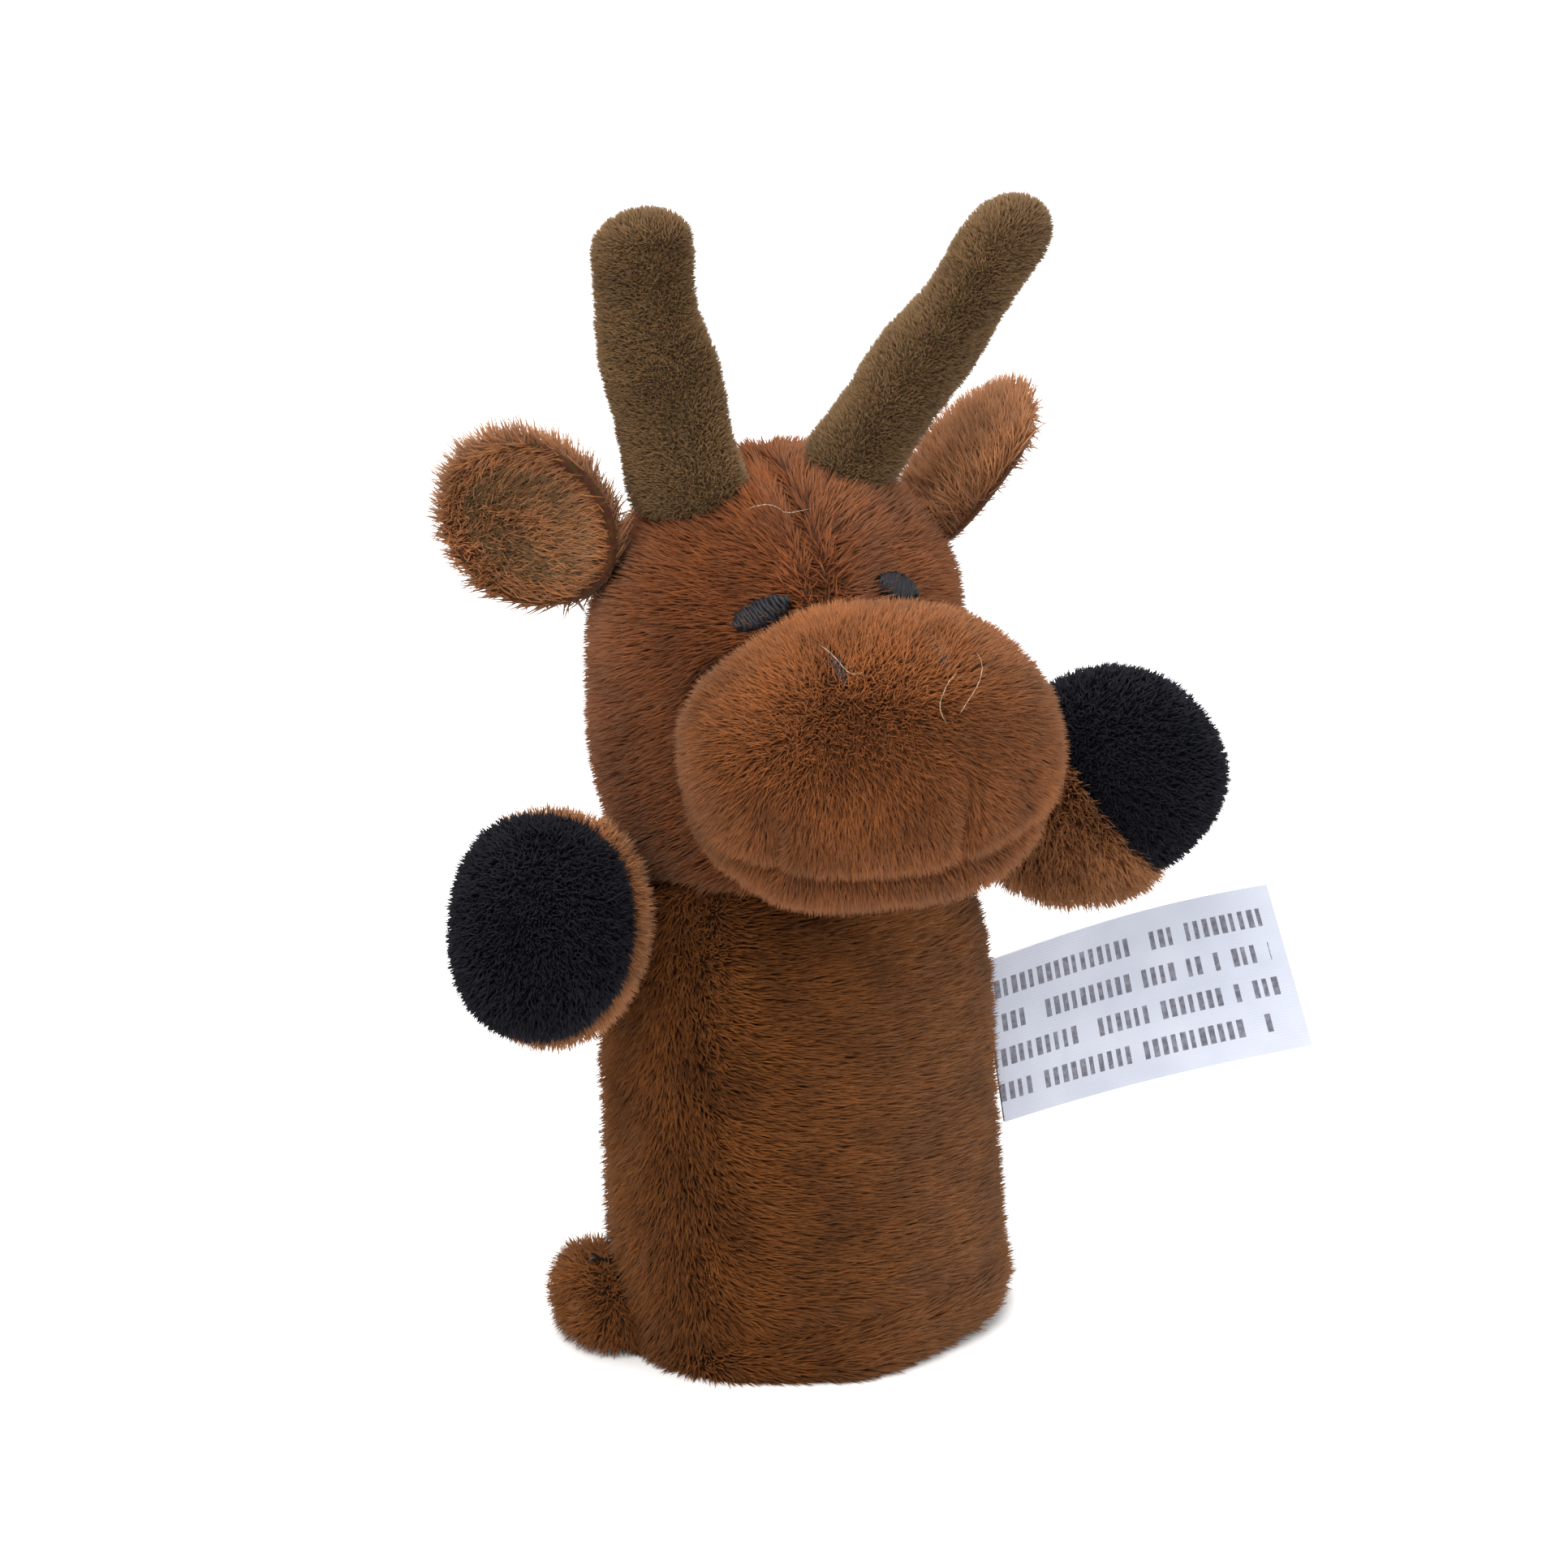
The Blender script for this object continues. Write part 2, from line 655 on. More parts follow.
# %% [markdown]
# ## The sleeve
# The sleeve is two plush panels sewn up the sides, open at the hem for a finger, and
# closing in at the shoulder to go up inside the head. It starts as an open cylinder with
# many rings. Each ring takes the sleeve's oval at its height, the hem rolls in under, and
# a few soft folds and the slack at the hem are sculpted in. Then the tube is cut at its
# side seams into front and back.

# %% Shape the sleeve
sleeve_rings = 72
deselect()
bpy.ops.mesh.primitive_cylinder_add(vertices=160, radius=1, depth=1, end_fill_type="NOTHING")
sleeve_skin = start("sleeve_skin")
mesh = bmesh.new()
mesh.from_mesh(sleeve_skin.data)
upright = [e for e in mesh.edges if abs(e.verts[0].co.z - e.verts[1].co.z) > 0.5]
bmesh.ops.subdivide_edges(mesh, edges=upright, cuts=sleeve_rings, use_grid_fill=True)
mesh.to_mesh(sleeve_skin.data)
mesh.free()

hem_roll = 1.4


def sleeve_form(co):
    """From the unit cylinder to the sleeve: u runs from the hem's inside to the neck."""
    u = co[:, 2] + 0.5
    angle = np.arctan2(co[:, 1], co[:, 0])
    length = hem_roll * 3 + shoulder_z + 7
    s = u * length
    z = np.zeros(len(co))
    inward = np.zeros(len(co))
    roll = s < hem_roll * 3
    turn_ = np.pi * s / (hem_roll * 3)
    z[roll] = hem_roll * (1 - np.sin(turn_[roll])) * 0.999 + 0.05
    first = roll & (turn_ < np.pi / 2)
    z[first] = 0.05 + hem_roll * (1 - np.sin(turn_[first]))
    inward[roll] = hem_roll * (1 + np.cos(turn_[roll]))
    z[~roll] = s[~roll] - hem_roll * 3 + hem_roll + 0.05
    radius = np.array([sleeve_radius(min(max(v, 0), shoulder_z)) for v in z])
    neck = np.clip((z - shoulder_z + 1.5) / 6, 0, 1)
    radius = radius * (1 - neck) + 10.2 * neck - skin_sink - inward
    k = wide * (1 - neck) + 1.05 * neck
    x, y = k * radius * np.cos(angle), radius * np.sin(angle)
    # slack folds: a shallow one that rises from the hem at the front, and broad dents
    low = gauss(z - 3.6 - 1.6 * np.cos(angle + 1.1), 1.3) * np.clip(-np.sin(angle), 0, 1)
    push = -1.1 * low * (z > 1.5) + 0.5 * lumps(np.c_[x, y, z], 9, 3) * np.clip(z / 8, 0, 1)
    # the cloth tucks in beside the sewn side and over the flank
    flank = gauss(angle + 2.45, 0.16) * np.clip((z - 4) / 10, 0, 1) * (z < shoulder_z)
    push -= 0.7 * flank
    hem = gauss(z - 0.5, 2.2)
    push += hem * (0.5 * np.sin(3 * angle + 0.6) + 0.35 * np.sin(7 * angle))
    x += push * np.cos(angle)
    y += push * np.sin(angle)
    return np.c_[x, y, np.maximum(z, 0.05)]


sculpt(sleeve_skin, sleeve_form)
outward(sleeve_skin)
place(sleeve_skin)
print("sleeve", [round(v * 1000, 1) for v in sleeve_skin.dimensions])

# %% [markdown]
# The plush of the sleeve is brushed sideways over the front, which gives it its fine
# level streaks, and left curlier on the flank. It is cut short near the hem's inside.

# %% Grow the sleeve's pile
def sleeve_comb(co):
    """Brushed round the front to the puppet's left and slightly up, slack on the flank."""
    angle = np.arctan2(co[:, 1], co[:, 0] / wide)
    round_ = np.c_[-np.sin(angle), np.cos(angle), np.full(len(co), 0.22)]
    front = np.clip((-np.sin(angle) + 0.1) * 1.4, 0.0, 1)[:, None]
    slack = gauss(np.angle(np.exp(1j * (angle + 2.75))), 0.42)[:, None]
    down = np.array([0.25, 0, -0.55])
    comb = round_ * 1.75 * front * (1 - slack) + down * (slack * 0.7 + (1 - front) * 0.9)
    return comb


def sleeve_length(co):
    z = co[:, 2] / mm
    return np.clip(1.0 - 0.75 * (z > 47.5), 0, 1)


brush(sleeve_skin, sleeve_comb, sleeve_length)
for name, way in (("front_panel", -1), ("back_panel", 1)):
    half = cut(copy_of(sleeve_skin, name + "_cloth"), (0, 0, 0), (0, way, 0))
    pile = plant(half, name + "_pile", brown_pile, 24, 2.1, 0.26, 0.34, 0.5, 1.7)
    backing(half, brown_cloth)
    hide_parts(name)
    for piece in (half, pile):
        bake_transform(piece, "sleeve", "head", tuple(slump @ Vector((0, 0, 43)) * mm),
                 tuple(slump @ Vector((0, 0, 51)) * mm))
remove(sleeve_skin)

# %% [markdown]
# The sheet declaration says how big each panel was when it was cut: half the hem's round
# wide, and as long as from the hem's turned edge to the neck.

# %% [markdown]
# Inside, each side seam leaves its allowance standing as a narrow double strip, and the
# hem's turned-up edge makes a facing held by a line of stitches. They are thin grids bent
# along the wall.

# %% Seam allowances and hem facing
def strip(name, columns, rows, form, material, thickness):
    """A thin strip of cloth, bent from a grid by a rule on its two coordinates."""
    deselect()
    bpy.ops.mesh.primitive_grid_add(x_subdivisions=columns, y_subdivisions=rows, size=2)
    piece = start(name)
    sculpt(piece, lambda co: form((co[:, 0] + 1) / 2, (co[:, 1] + 1) / 2))
    outward(piece)
    finish_modifier(piece, "SOLIDIFY", thickness=thickness, offset=0)
    place(piece)
    piece.data.materials.append(material)
    pick(piece)
    bpy.ops.object.shade_smooth()
    return piece


for side, name in ((1, "side_seam_left"), (-1, "side_seam_right")):
    def allowance(u, v, side=side):
        z = 9.6 + 28.6 * u
        wall = wide * (np.array([sleeve_radius(h) for h in z]) - skin_sink - cloth_t)
        deep = v * 2.4
        return np.c_[side * (wall - deep + 0.3), 0.35 * np.sin(z * 1.3) * v, z]
    seam = strip(name + "_allowance", 60, 6, allowance, brown_cloth, 0.9)
    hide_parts(name)
    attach(seam, "sleeve")


def facing_form(u, v):
    angle = 2 * np.pi * u
    z = 1.2 + 7.2 * v
    radius = sleeve_radius(4) - skin_sink - cloth_t - 0.9 + 0.15 * np.sin(9 * angle)
    return np.c_[wide * radius * np.cos(angle), radius * np.sin(angle), z]


facing = strip("hem_facing_cloth", 140, 8, facing_form, brown_cloth, 0.8)
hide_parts("hem_facing")
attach(facing, "sleeve")
print("inside finished")

# %% [markdown]
# ## The head
# The head is a dome with nearly straight sides, made from two side panels that meet in a
# seam over the forehead, and a back panel. A sphere with many rings is stretched to it:
# the upper half makes the dome, the lower half the sides and the tuck under the edge. The
# filling swells it between its seams.

# %% Shape the head
deselect()
bpy.ops.mesh.primitive_uv_sphere_add(segments=144, ring_count=96, radius=1)
head_skin = start("head_skin")
head_r = head_d / 2
rim_z = neck_z - 2.2


def head_form(co):
    z = co[:, 2]
    flat = np.hypot(co[:, 0], co[:, 1])
    angle = np.arctan2(co[:, 1], co[:, 0])
    polar = np.arctan2(flat, z)
    radius = np.zeros(len(co))
    height = np.zeros(len(co))
    top = polar < np.pi / 2
    radius[top] = head_r * np.sin(polar[top])
    height[top] = dome_z + crown_h * np.cos(polar[top])
    t = (polar - np.pi / 2) / (np.pi / 2)
    side = ~top & (t < 0.66)
    radius[side] = head_r - 1.0 * (t[side] / 0.66) ** 2
    height[side] = dome_z - (dome_z - rim_z) * t[side] / 0.66
    under = ~top & ~side
    tuck = (t[under] - 0.66) / 0.34
    radius[under] = (head_r - 1.0) * (1 - tuck) ** 0.5
    height[under] = rim_z - 2.0 * np.sin(np.minimum(tuck * 2.2, 1) * np.pi / 2) + 6 * np.clip(
        tuck - 0.45, 0, 1)
    radius = np.maximum(radius - skin_sink * np.minimum(1, radius / 6), 0)
    height[top] -= skin_sink * np.cos(polar[top])
    return np.c_[head_wide * radius * np.cos(angle), radius * np.sin(angle), height]


def head_held(co):
    """Sewn at the forehead seam, the back panel's seams, and round the neck."""
    front = gauss(co[:, 0], 0.8) * (co[:, 1] < 2)
    back = gauss(co[:, 1] - 2, 0.9)
    neck = (co[:, 2] < rim_z + 1).astype(float)
    face = gauss(np.hypot(co[:, 0], co[:, 2] - muzzle_at.z) - 12, 2.5) * (co[:, 1] < -8)
    return np.maximum.reduce([front, back * 0.7, neck, face * 0.6])


def head_details(co):
    x, y, z = co.T
    front = np.clip(-(y - 1) / 6, 0, 1)
    groove = gauss(x, 1.0) * front * np.clip((z - 60) / 6, 0, 1)
    brow = (gauss(x - 3.4, 2.4) + gauss(x + 3.4, 2.4)) * front * np.clip((z - 62) / 7, 0, 1)
    out = np.c_[x / head_w, y / head_d, 0.9 * (z - dome_z).clip(0) / crown_h / 2]
    out /= np.maximum(np.linalg.norm(out, axis=1, keepdims=True), 1e-6)
    cheek = gauss(z - 55, 6) * gauss(y + 1, 9) * 0.5
    socket = sum(gauss(np.hypot(x - s * 6.5, z - 69.5), 3.2) for s in (-1, 1)) * front
    push = -1.1 * groove + 0.55 * brow + cheek + 0.45 * lumps(co, 7, 5) - 0.7 * socket
    return co + out * push[:, None] * (z > rim_z + 1)[:, None]


sculpt(head_skin, head_form)
outward(head_skin)
swell(head_skin, head_held, pressure=2.5, most=0.8)
sculpt(head_skin, head_details)
place(head_skin)
head_surface = surface_of(head_skin)
print("head", [round(v * 1000, 1) for v in head_skin.dimensions])

# %% [markdown]
# The pile of the head is brushed back from the face, away from the forehead seam on both
# sides and down at the cheeks. Each of the three panels gets its own cloth and pile.

# %% Grow the head's pile
def head_comb(co):
    p = co / mm
    side = np.sign(p[:, 0] + 3.6)
    comb = np.zeros_like(p)
    high = np.clip((p[:, 2] - 62) / 14, 0, 1)
    comb[:, 0] = side * (0.85 - 0.2 * high)
    comb[:, 1] = 0.45 * (p[:, 1] < 2) + 0.2
    comb[:, 2] = -0.55 * (1 - high) + 0.12
    return comb * 1.05


def head_pile_length(co):
    p = co / mm
    muzzle = (p[:, 1] < -9.5) & (np.hypot(p[:, 0] + 3.6, 1.25 * (p[:, 2] - 57.0)) < 12.5)
    under = p[:, 2] < rim_z - 1.2
    seam = gauss(p[:, 0] + 0.0593 * p[:, 2], 0.45) * (p[:, 1] < 0) * (p[:, 2] > 60)
    return np.where(muzzle | under, 0.0, 1.0) * (1 - 0.45 * seam)


brush(head_skin, head_comb, head_pile_length)
head_cuts = {
    "face_left": (((0, 0, 0), (1, 0, 0)), ((0, 2, 0), (0, -1, 0))),
    "face_right": (((0, 0, 0), (-1, 0, 0)), ((0, 2, 0), (0, -1, 0))),
    "head_back": (((0, 2, 0), (0, 1, 0)),),
}
for name, planes in head_cuts.items():
    part = copy_of(head_skin, name + "_cloth")
    for point, normal in planes:
        cut(part, slump @ Vector(point) * mm, slump.to_3x3() @ Vector(normal))
    pile = plant(part, name + "_pile", red_pile, 26, 2.0, 0.25, 0.36, 0.5, 1.6)
    backing(part, brown_cloth)
    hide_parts(name)
    for piece in (part, pile):
        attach(piece, "head")
remove(head_skin)

# %% [markdown]
# ## The muzzle
# The muzzle is the puppet's fullest cushion: a wide oval with a lip rolled under along
# the mouth seam, two short darts over the mouth and two small dimples above. The cloth
# is held at those stitches while it swells, so the plush puckers round them.

# %% Shape the muzzle
deselect()
bpy.ops.mesh.primitive_uv_sphere_add(segments=144, ring_count=96, radius=1)
muzzle_skin = start("muzzle_skin")
half_muzzle = np.array(muzzle_size) / 2
muzzle_off = 1.2   # the muzzle is sewn on a little to the left of the middle
muzzle_mid = np.array(muzzle_at) + [muzzle_off, 0, 0.2]
darts = ((-9.6, 2.4), (5.0, 2.4))   # local x, and half height of each dart
mouth_low = mouth_z - 0.4


def mouth_line(x):
    """Height of the mouth seam at x: it sags in the middle."""
    return mouth_low + 2.2 * (np.abs(x) / 13) ** 2


def muzzle_form(co):
    """A rounded box of an oval, fuller at the lip than over the nose."""
    full = np.abs(co) ** 2.35
    co = co / (full.sum(axis=1, keepdims=True) ** (1 / 2.35))
    z = co[:, 2]
    x = co[:, 0] * (1 - 0.10 * z.clip(0) - 0.03 * z.clip(-1, 0) ** 2)
    y = co[:, 1] * (1 - 0.07 * z.clip(0))
    size = half_muzzle * [0.98, 1, 0.94] - skin_sink * 0.9
    out = np.c_[x, y, z] * size
    out[:, 1] += 0.8 * z.clip(0) ** 2
    return out + muzzle_mid


def muzzle_held(co):
    x, y, z = co.T
    front = np.clip(-(y - muzzle_mid[1]) / 6, 0, 1)
    mouth = gauss(z - mouth_line(x), 0.8) * front * (np.abs(x) < 13.5)
    sewn = sum(gauss(x - dx, 0.6) * gauss(z - mouth_low - 3.4, h) for dx, h in darts) * front
    back = (y > -head_r + 2.0).astype(float)
    return np.maximum.reduce([mouth, np.minimum(sewn * 1.2, 1), back])


def muzzle_details(co):
    x, y, z = co.T
    front = np.clip(-(y - muzzle_mid[1]) / 5, 0, 1)
    mouth = gauss(z - mouth_line(x), 0.85) * front * np.clip((14.2 - np.abs(x)) / 2, 0, 1)
    lip = gauss(z - mouth_line(x) + 2.6, 1.8) * front
    folds = sum(gauss(x - dx, 0.75) * gauss(z - mouth_low - 3.6, h * 1.3) for dx, h in darts)
    dimples = sum(gauss(np.hypot(x - dx, z - dz), 0.9) for dx, dz in ((-11.0, 65.6), (5.4, 67.2)))
    out = (co - muzzle_mid) / half_muzzle
    out /= np.linalg.norm(out, axis=1, keepdims=True)
    push = (-1.1 * mouth + 0.5 * lip - 1.9 * folds * front - 1.1 * dimples * front
            + 0.45 * lumps(co, 5, 9))
    return co + out * push[:, None]


sculpt(muzzle_skin, muzzle_form)
outward(muzzle_skin)
swell(muzzle_skin, muzzle_held, pressure=3.0, most=0.9)
sculpt(muzzle_skin, muzzle_details)
place(muzzle_skin)
muzzle_surface = surface_of(muzzle_skin)
print("muzzle", [round(v * 1000, 1) for v in muzzle_skin.dimensions])

# %% [markdown]
# Its pile is short and dense and fans out from the nose over the cushion.

# %% Grow the muzzle's pile
muzzle_world = np.array(slump @ muzzle_at) * mm


def muzzle_comb(co):
    p = (co - muzzle_world) / mm
    comb = np.c_[0.05 * p[:, 0] + 0.22, 0.25 + 0 * p[:, 0], -0.75 + 0.06 * p[:, 2]]
    return comb


def muzzle_length(co):
    p = (co - muzzle_world) / mm
    line = mouth_line(p[:, 0]) - muzzle_at.z
    crease = gauss(p[:, 2] - line, 0.5) * (p[:, 1] < -2)
    inside = p[:, 1] > 7.5
    return np.where(inside, 0.0, 1 - 0.5 * crease)


brush(muzzle_skin, muzzle_comb, muzzle_length)
for name, way in (("muzzle_panel", 1), ("chin_panel", -1)):
    part = cut(copy_of(muzzle_skin, name + "_cloth"), slump @ Vector((0, 0, mouth_z)) * mm,
               slump.to_3x3() @ Vector((0, 0, way)))
    pile = plant(part, name + "_pile", muzzle_pile, 32 if way > 0 else 28, 1.6, 0.20,
                 0.40, 0.45, 1.6)
    backing(part, muzzle_cloth)
    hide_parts(name)
    for piece in (part, pile):
        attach(piece, "head")
remove(muzzle_skin)

# %% [markdown]
# ## The antlers
# Two flat-sided stalks of short velour, gently filled, that lean apart. A tall cylinder
# with a rounded end is bent ring by ring along the stalk's centre line, with the soft
# cross creases that a stuffed tube gets where it bends.

# %% Shape an antler
antler_len, antler_w, antler_t = 26, 10.4, 6.6
antler_low = 0.68 * antler_len
antler_lean = {1: 35, -1: 10}
antler_fore = {1: 12, -1: 0}
antler_bend = {1: 3, -1: 20}
antler_face = 45
core_sink = 1.3   # the filling lies this far under the skin
antler_x, antler_y = 0.23 * head_w, -1.5
antler_z = dome_z + crown_h * math.sqrt(
    1 - (2 * antler_x / head_w) ** 2 - (antler_y / head_r) ** 2)


def antler_form(side, co):
    """The unit sphere stretched to a stalk: below its middle is the base, above the end."""
    angle = np.arctan2(co[:, 1], co[:, 0])
    s = (1 - np.arccos(np.clip(co[:, 2], -1, 1)) / np.pi)
    z = -2.5 + (antler_len + 2.5) * s
    end = np.clip((z - (antler_len - 4.2)) / 4.2, 0, 1)
    half = antler_w / 2 * (1 - 0.19 * np.clip(z / antler_len, 0, 1)) - 0.45
    half *= np.sqrt(np.maximum(1 - end ** 2.2, 0))
    start_ = np.clip((z + 2.5) / 2.0, 0, 1)
    half *= np.sqrt(1 - (1 - start_) ** 2)
    thick = half * antler_t / antler_w * 1.08
    x = half * np.cos(angle)
    y = thick * np.sin(angle)
    # bend the upper part over, about the height antler_low, with a soft knee
    over = math.radians(antler_bend[side]) * np.clip((z - 6) / (antler_low + 4 - 6), 0, 1.25)
    toward = np.array([math.sin(math.radians(antler_face)), math.cos(math.radians(antler_face))])
    drop = np.clip(z - 6, 0, None)
    shift = drop * np.sin(over) * 0.55
    bent = np.c_[x + toward[1] * shift, y - toward[0] * shift,
                 z - drop * (1 - np.cos(over))]
    crease = 0.22 * np.sin(z * 1.9 + 1.5 * np.cos(angle)) * np.clip(z / 6, 0, 1)
    bent[:, :2] *= (1 + crease * 0.06)[:, None]
    return bent


def antler_held(co):
    return np.maximum((co[:, 2] < 0.5).astype(float), 0.15)


for side, word in ((1, "left"), (-1, "right")):
    deselect()
    bpy.ops.mesh.primitive_uv_sphere_add(segments=72, ring_count=80, radius=1)
    skin = start(f"antler_{word}_cover_cloth")
    sculpt(skin, lambda co, side=side: antler_form(side, co))
    outward(skin)
    swell(skin, antler_held, pressure=1.5, most=0.35)
    sculpt(skin, lambda co: co + 0.16 * lumps(co, 3.2, 21)[:, None] * [1, 1, 0])
    stand = moved(-antler_x, antler_y, antler_z) @ turned(
        antler_fore[side], -antler_lean[side], 0) @ turned(0, 0, -antler_face)
    # the filling is the same form, a little smaller all round
    core = copy_of(skin, f"antler_{word}_stuffing_fibre")
    out_way = np.array([list(v.normal) for v in core.data.vertices])
    sculpt(core, lambda co: co - core_sink * out_way)
    core.data.materials.clear()
    core.data.materials.append(filling)
    for form in (skin, core):
        place(form, mirror_x if side > 0 else Matrix(), stand)
    brush(skin, lambda co: np.tile(up((0.15 * side, 0.1, 0.55)), (len(co), 1)))
    pile = plant(skin, f"antler_{word}_pile", velour_pile, 46, 0.8, 0.16, 0.5, 0.45, 0.9)
    backing(skin, velour_cloth, 0.5)
    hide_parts(f"antler_{word}_cover")
    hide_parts(f"antler_{word}_stuffing")
    for piece, slot in ((skin, "velour_tan"), (pile, "velour_tan"), (core, "stuffing")):
        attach(piece, f"antler_{word}")

# %% [markdown]
# ## The ears
# Each ear is a cupped petal: fluffy plush outside, with a pile long enough to fringe the
# rim, and a tan velour lining inside with one fold down its middle. A grid is rounded to
# a petal and pressed on a bowl.

# %% Shape the ears
ear_len, ear_w, ear_bowl, ear_t = 14.4, 15.6, 13, 2.2
ear_mid = 0.46 * ear_len
ear_turn = {1: -36, -1: 20}
ear_lift = {1: 14, -1: 0}
ear_at = moved(-0.485 * head_w, -1.2, neck_z + 0.785 * head_h)
ear_root = {1: (1.4, 0.3, -2.2), -1: (1.4, 0.3, -0.3)}   # sunk into the head's pile


def petal(name, half_w, half_l, radius, fold):
    """A petal on a bowl of the given radius, its lower end gathered at the head."""
    deselect()
    bpy.ops.mesh.primitive_circle_add(vertices=96, radius=1, fill_type="NGON")
    piece = start(name)
    bpy.ops.object.mode_set(mode="EDIT")
    bpy.ops.mesh.select_all(action="SELECT")
    rings = (1.0, 0.93, 0.86, 0.8, 0.74, 0.66, 0.58, 0.5, 0.4, 0.3, 0.2, 0.1)
    for wider, narrower in zip(rings, rings[1:]):
        bpy.ops.mesh.inset(thickness=wider - narrower)
    bpy.ops.mesh.merge(type="CENTER")
    bpy.ops.object.mode_set(mode="OBJECT")
    from_middle = np.hypot(*points_of(piece).T[:2])

    def form(co):
        x, z = co[:, 0] * half_w, co[:, 1] * half_l
        x = x * (1 - 0.10 * np.clip(-co[:, 1], 0, 1))
        deep = radius - np.sqrt(np.maximum(radius ** 2 - x ** 2 - z ** 2, 1))
        y = ear_t - deep
        y = y - fold * gauss(x + 0.6, 1.1) * np.clip(1 - co[:, 1] ** 2, 0, 1)
        z = z + ear_mid
        return np.c_[x, y, z]

    sculpt(piece, form)
    return piece, from_middle


for side, word in ((1, "left"), (-1, "right")):
    stand = (moved(*ear_root[side]) @ ear_at
             @ turned(0, ear_lift[side], 0) @ turned(47.6, -52.4, -90)
             @ turned(0, 0, ear_turn[side]))
    flip = mirror_x if side > 0 else Matrix()
    outer, from_middle = petal(f"ear_{word}_back_cloth", ear_w / 2 - 0.3, ear_len - ear_mid - 0.3,
                  ear_bowl - 1.0, 0.0)
    sculpt(outer, lambda co: co - [0, 1.0, 0])
    place(outer, flip, stand)
    inner, _ = petal(f"ear_{word}_lining_cloth", ear_w / 2 - 2.6, ear_len - ear_mid - 1.8,
                  ear_bowl - 2.0, -0.7)
    sculpt(inner, lambda co: co - [0, 1.9, 0])
    place(inner, flip, stand)
    # the back faces away from the cup, the lining faces into it
    open_way = np.array((slump @ flip @ stand).to_3x3() @ Vector((0, -1, 0)))
    for piece, way in ((outer, -1), (inner, 1)):
        mean = np.mean([list(p.normal) for p in piece.data.polygons], axis=0)
        if float(mean @ open_way) * way < 0:
            piece.data.flip_normals()
    tip_way = np.array((slump @ flip @ stand).to_3x3() @ Vector((0, 0, 1)))
    brush(outer, lambda co: np.tile(tip_way * 0.9 + open_way * 0.1, (len(co), 1)))
    brush(inner, lambda co: np.tile(tip_way * 0.5, (len(co), 1)))
    rim = copy_of(outer, "rim_skin")
    rim.data.flip_normals()
    brush(rim, lambda co: np.tile(tip_way * 0.4 - open_way * 0.2, (len(co), 1)),
          lambda co: 1.0 * (from_middle > 0.82))
    rim_pile = plant(rim, f"ear_{word}_rim_pile", fluff_pile, 26, 2.3, 0.24, 0.8, 0.7, 1.6)
    remove(rim)
    outer_pile = plant(outer, f"ear_{word}_back_pile", fluff_pile, 34, 2.9, 0.24, 0.6, 0.7, 1.6)
    inner_pile = plant(inner, f"ear_{word}_lining_pile", velour_pile, 44, 0.9, 0.16, 0.5, 0.5, 0.9)
    backing(outer, brown_cloth, 0.7)
    backing(inner, velour_cloth, 0.4)
    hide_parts(f"ear_{word}_back")
    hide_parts(f"ear_{word}_lining")
    for piece, slot in ((outer, "plush_brown"), (outer_pile, "plush_brown"),
                        (rim_pile, "plush_brown"),
                        (inner, "velour_tan"), (inner_pile, "velour_tan")):
        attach(piece, f"ear_{word}")

# %% [markdown]
# ## The arms
# Each arm is a small flattened mitt, brown to the wrist and black beyond, where a curlier
# plush makes the hoof. A sphere is stretched to it, held at the hoof's seam while it
# swells, and cut in two there.

# %% Shape the arms
arm_len, mitt_h, mitt_t = 24.4, 20, 16
arm_z = 0.833 * neck_z
arm_x = wide * sleeve_radius(arm_z) + 2.1
hoof_from = arm_len * (1 - 0.5)
hoof_slants = {1: math.tan(math.radians(16)), -1: math.tan(math.radians(-2))}
arm_turn = {1: turned(0, 0, -38) @ turned(0, -34, 0),
            -1: turned(0, 0, -56) @ turned(0, -20, 0)}


def arm_form(co):
    full = np.abs(co) ** 2.15
    co = co / (full.sum(axis=1, keepdims=True) ** (1 / 2.15))
    x, y, z = co.T
    taper = 1 - 0.12 * np.clip(-x, 0, 1) + 0.04 * np.clip(x, 0, 1)
    size = np.array([arm_len, mitt_t, mitt_h]) / 2 - skin_sink
    return np.c_[x * size[0] + arm_len / 2, y * size[1] * taper, z * size[2] * taper]


def hoof_seam(co):
    """How far a point is beyond the hoof's seam."""
    return co[:, 0] - hoof_from + co[:, 1] * hoof_slant


def arm_held(co):
    return np.maximum(gauss(hoof_seam(co), 0.9), (co[:, 0] < 3).astype(float))


def arm_details(co):
    pinch = 1 - 0.055 * gauss(hoof_seam(co), 1.0)
    out = co.copy()
    out[:, 1:] *= pinch[:, None]
    return out + 0.3 * lumps(co, 5, 15)[:, None] * [0, 1, 1]


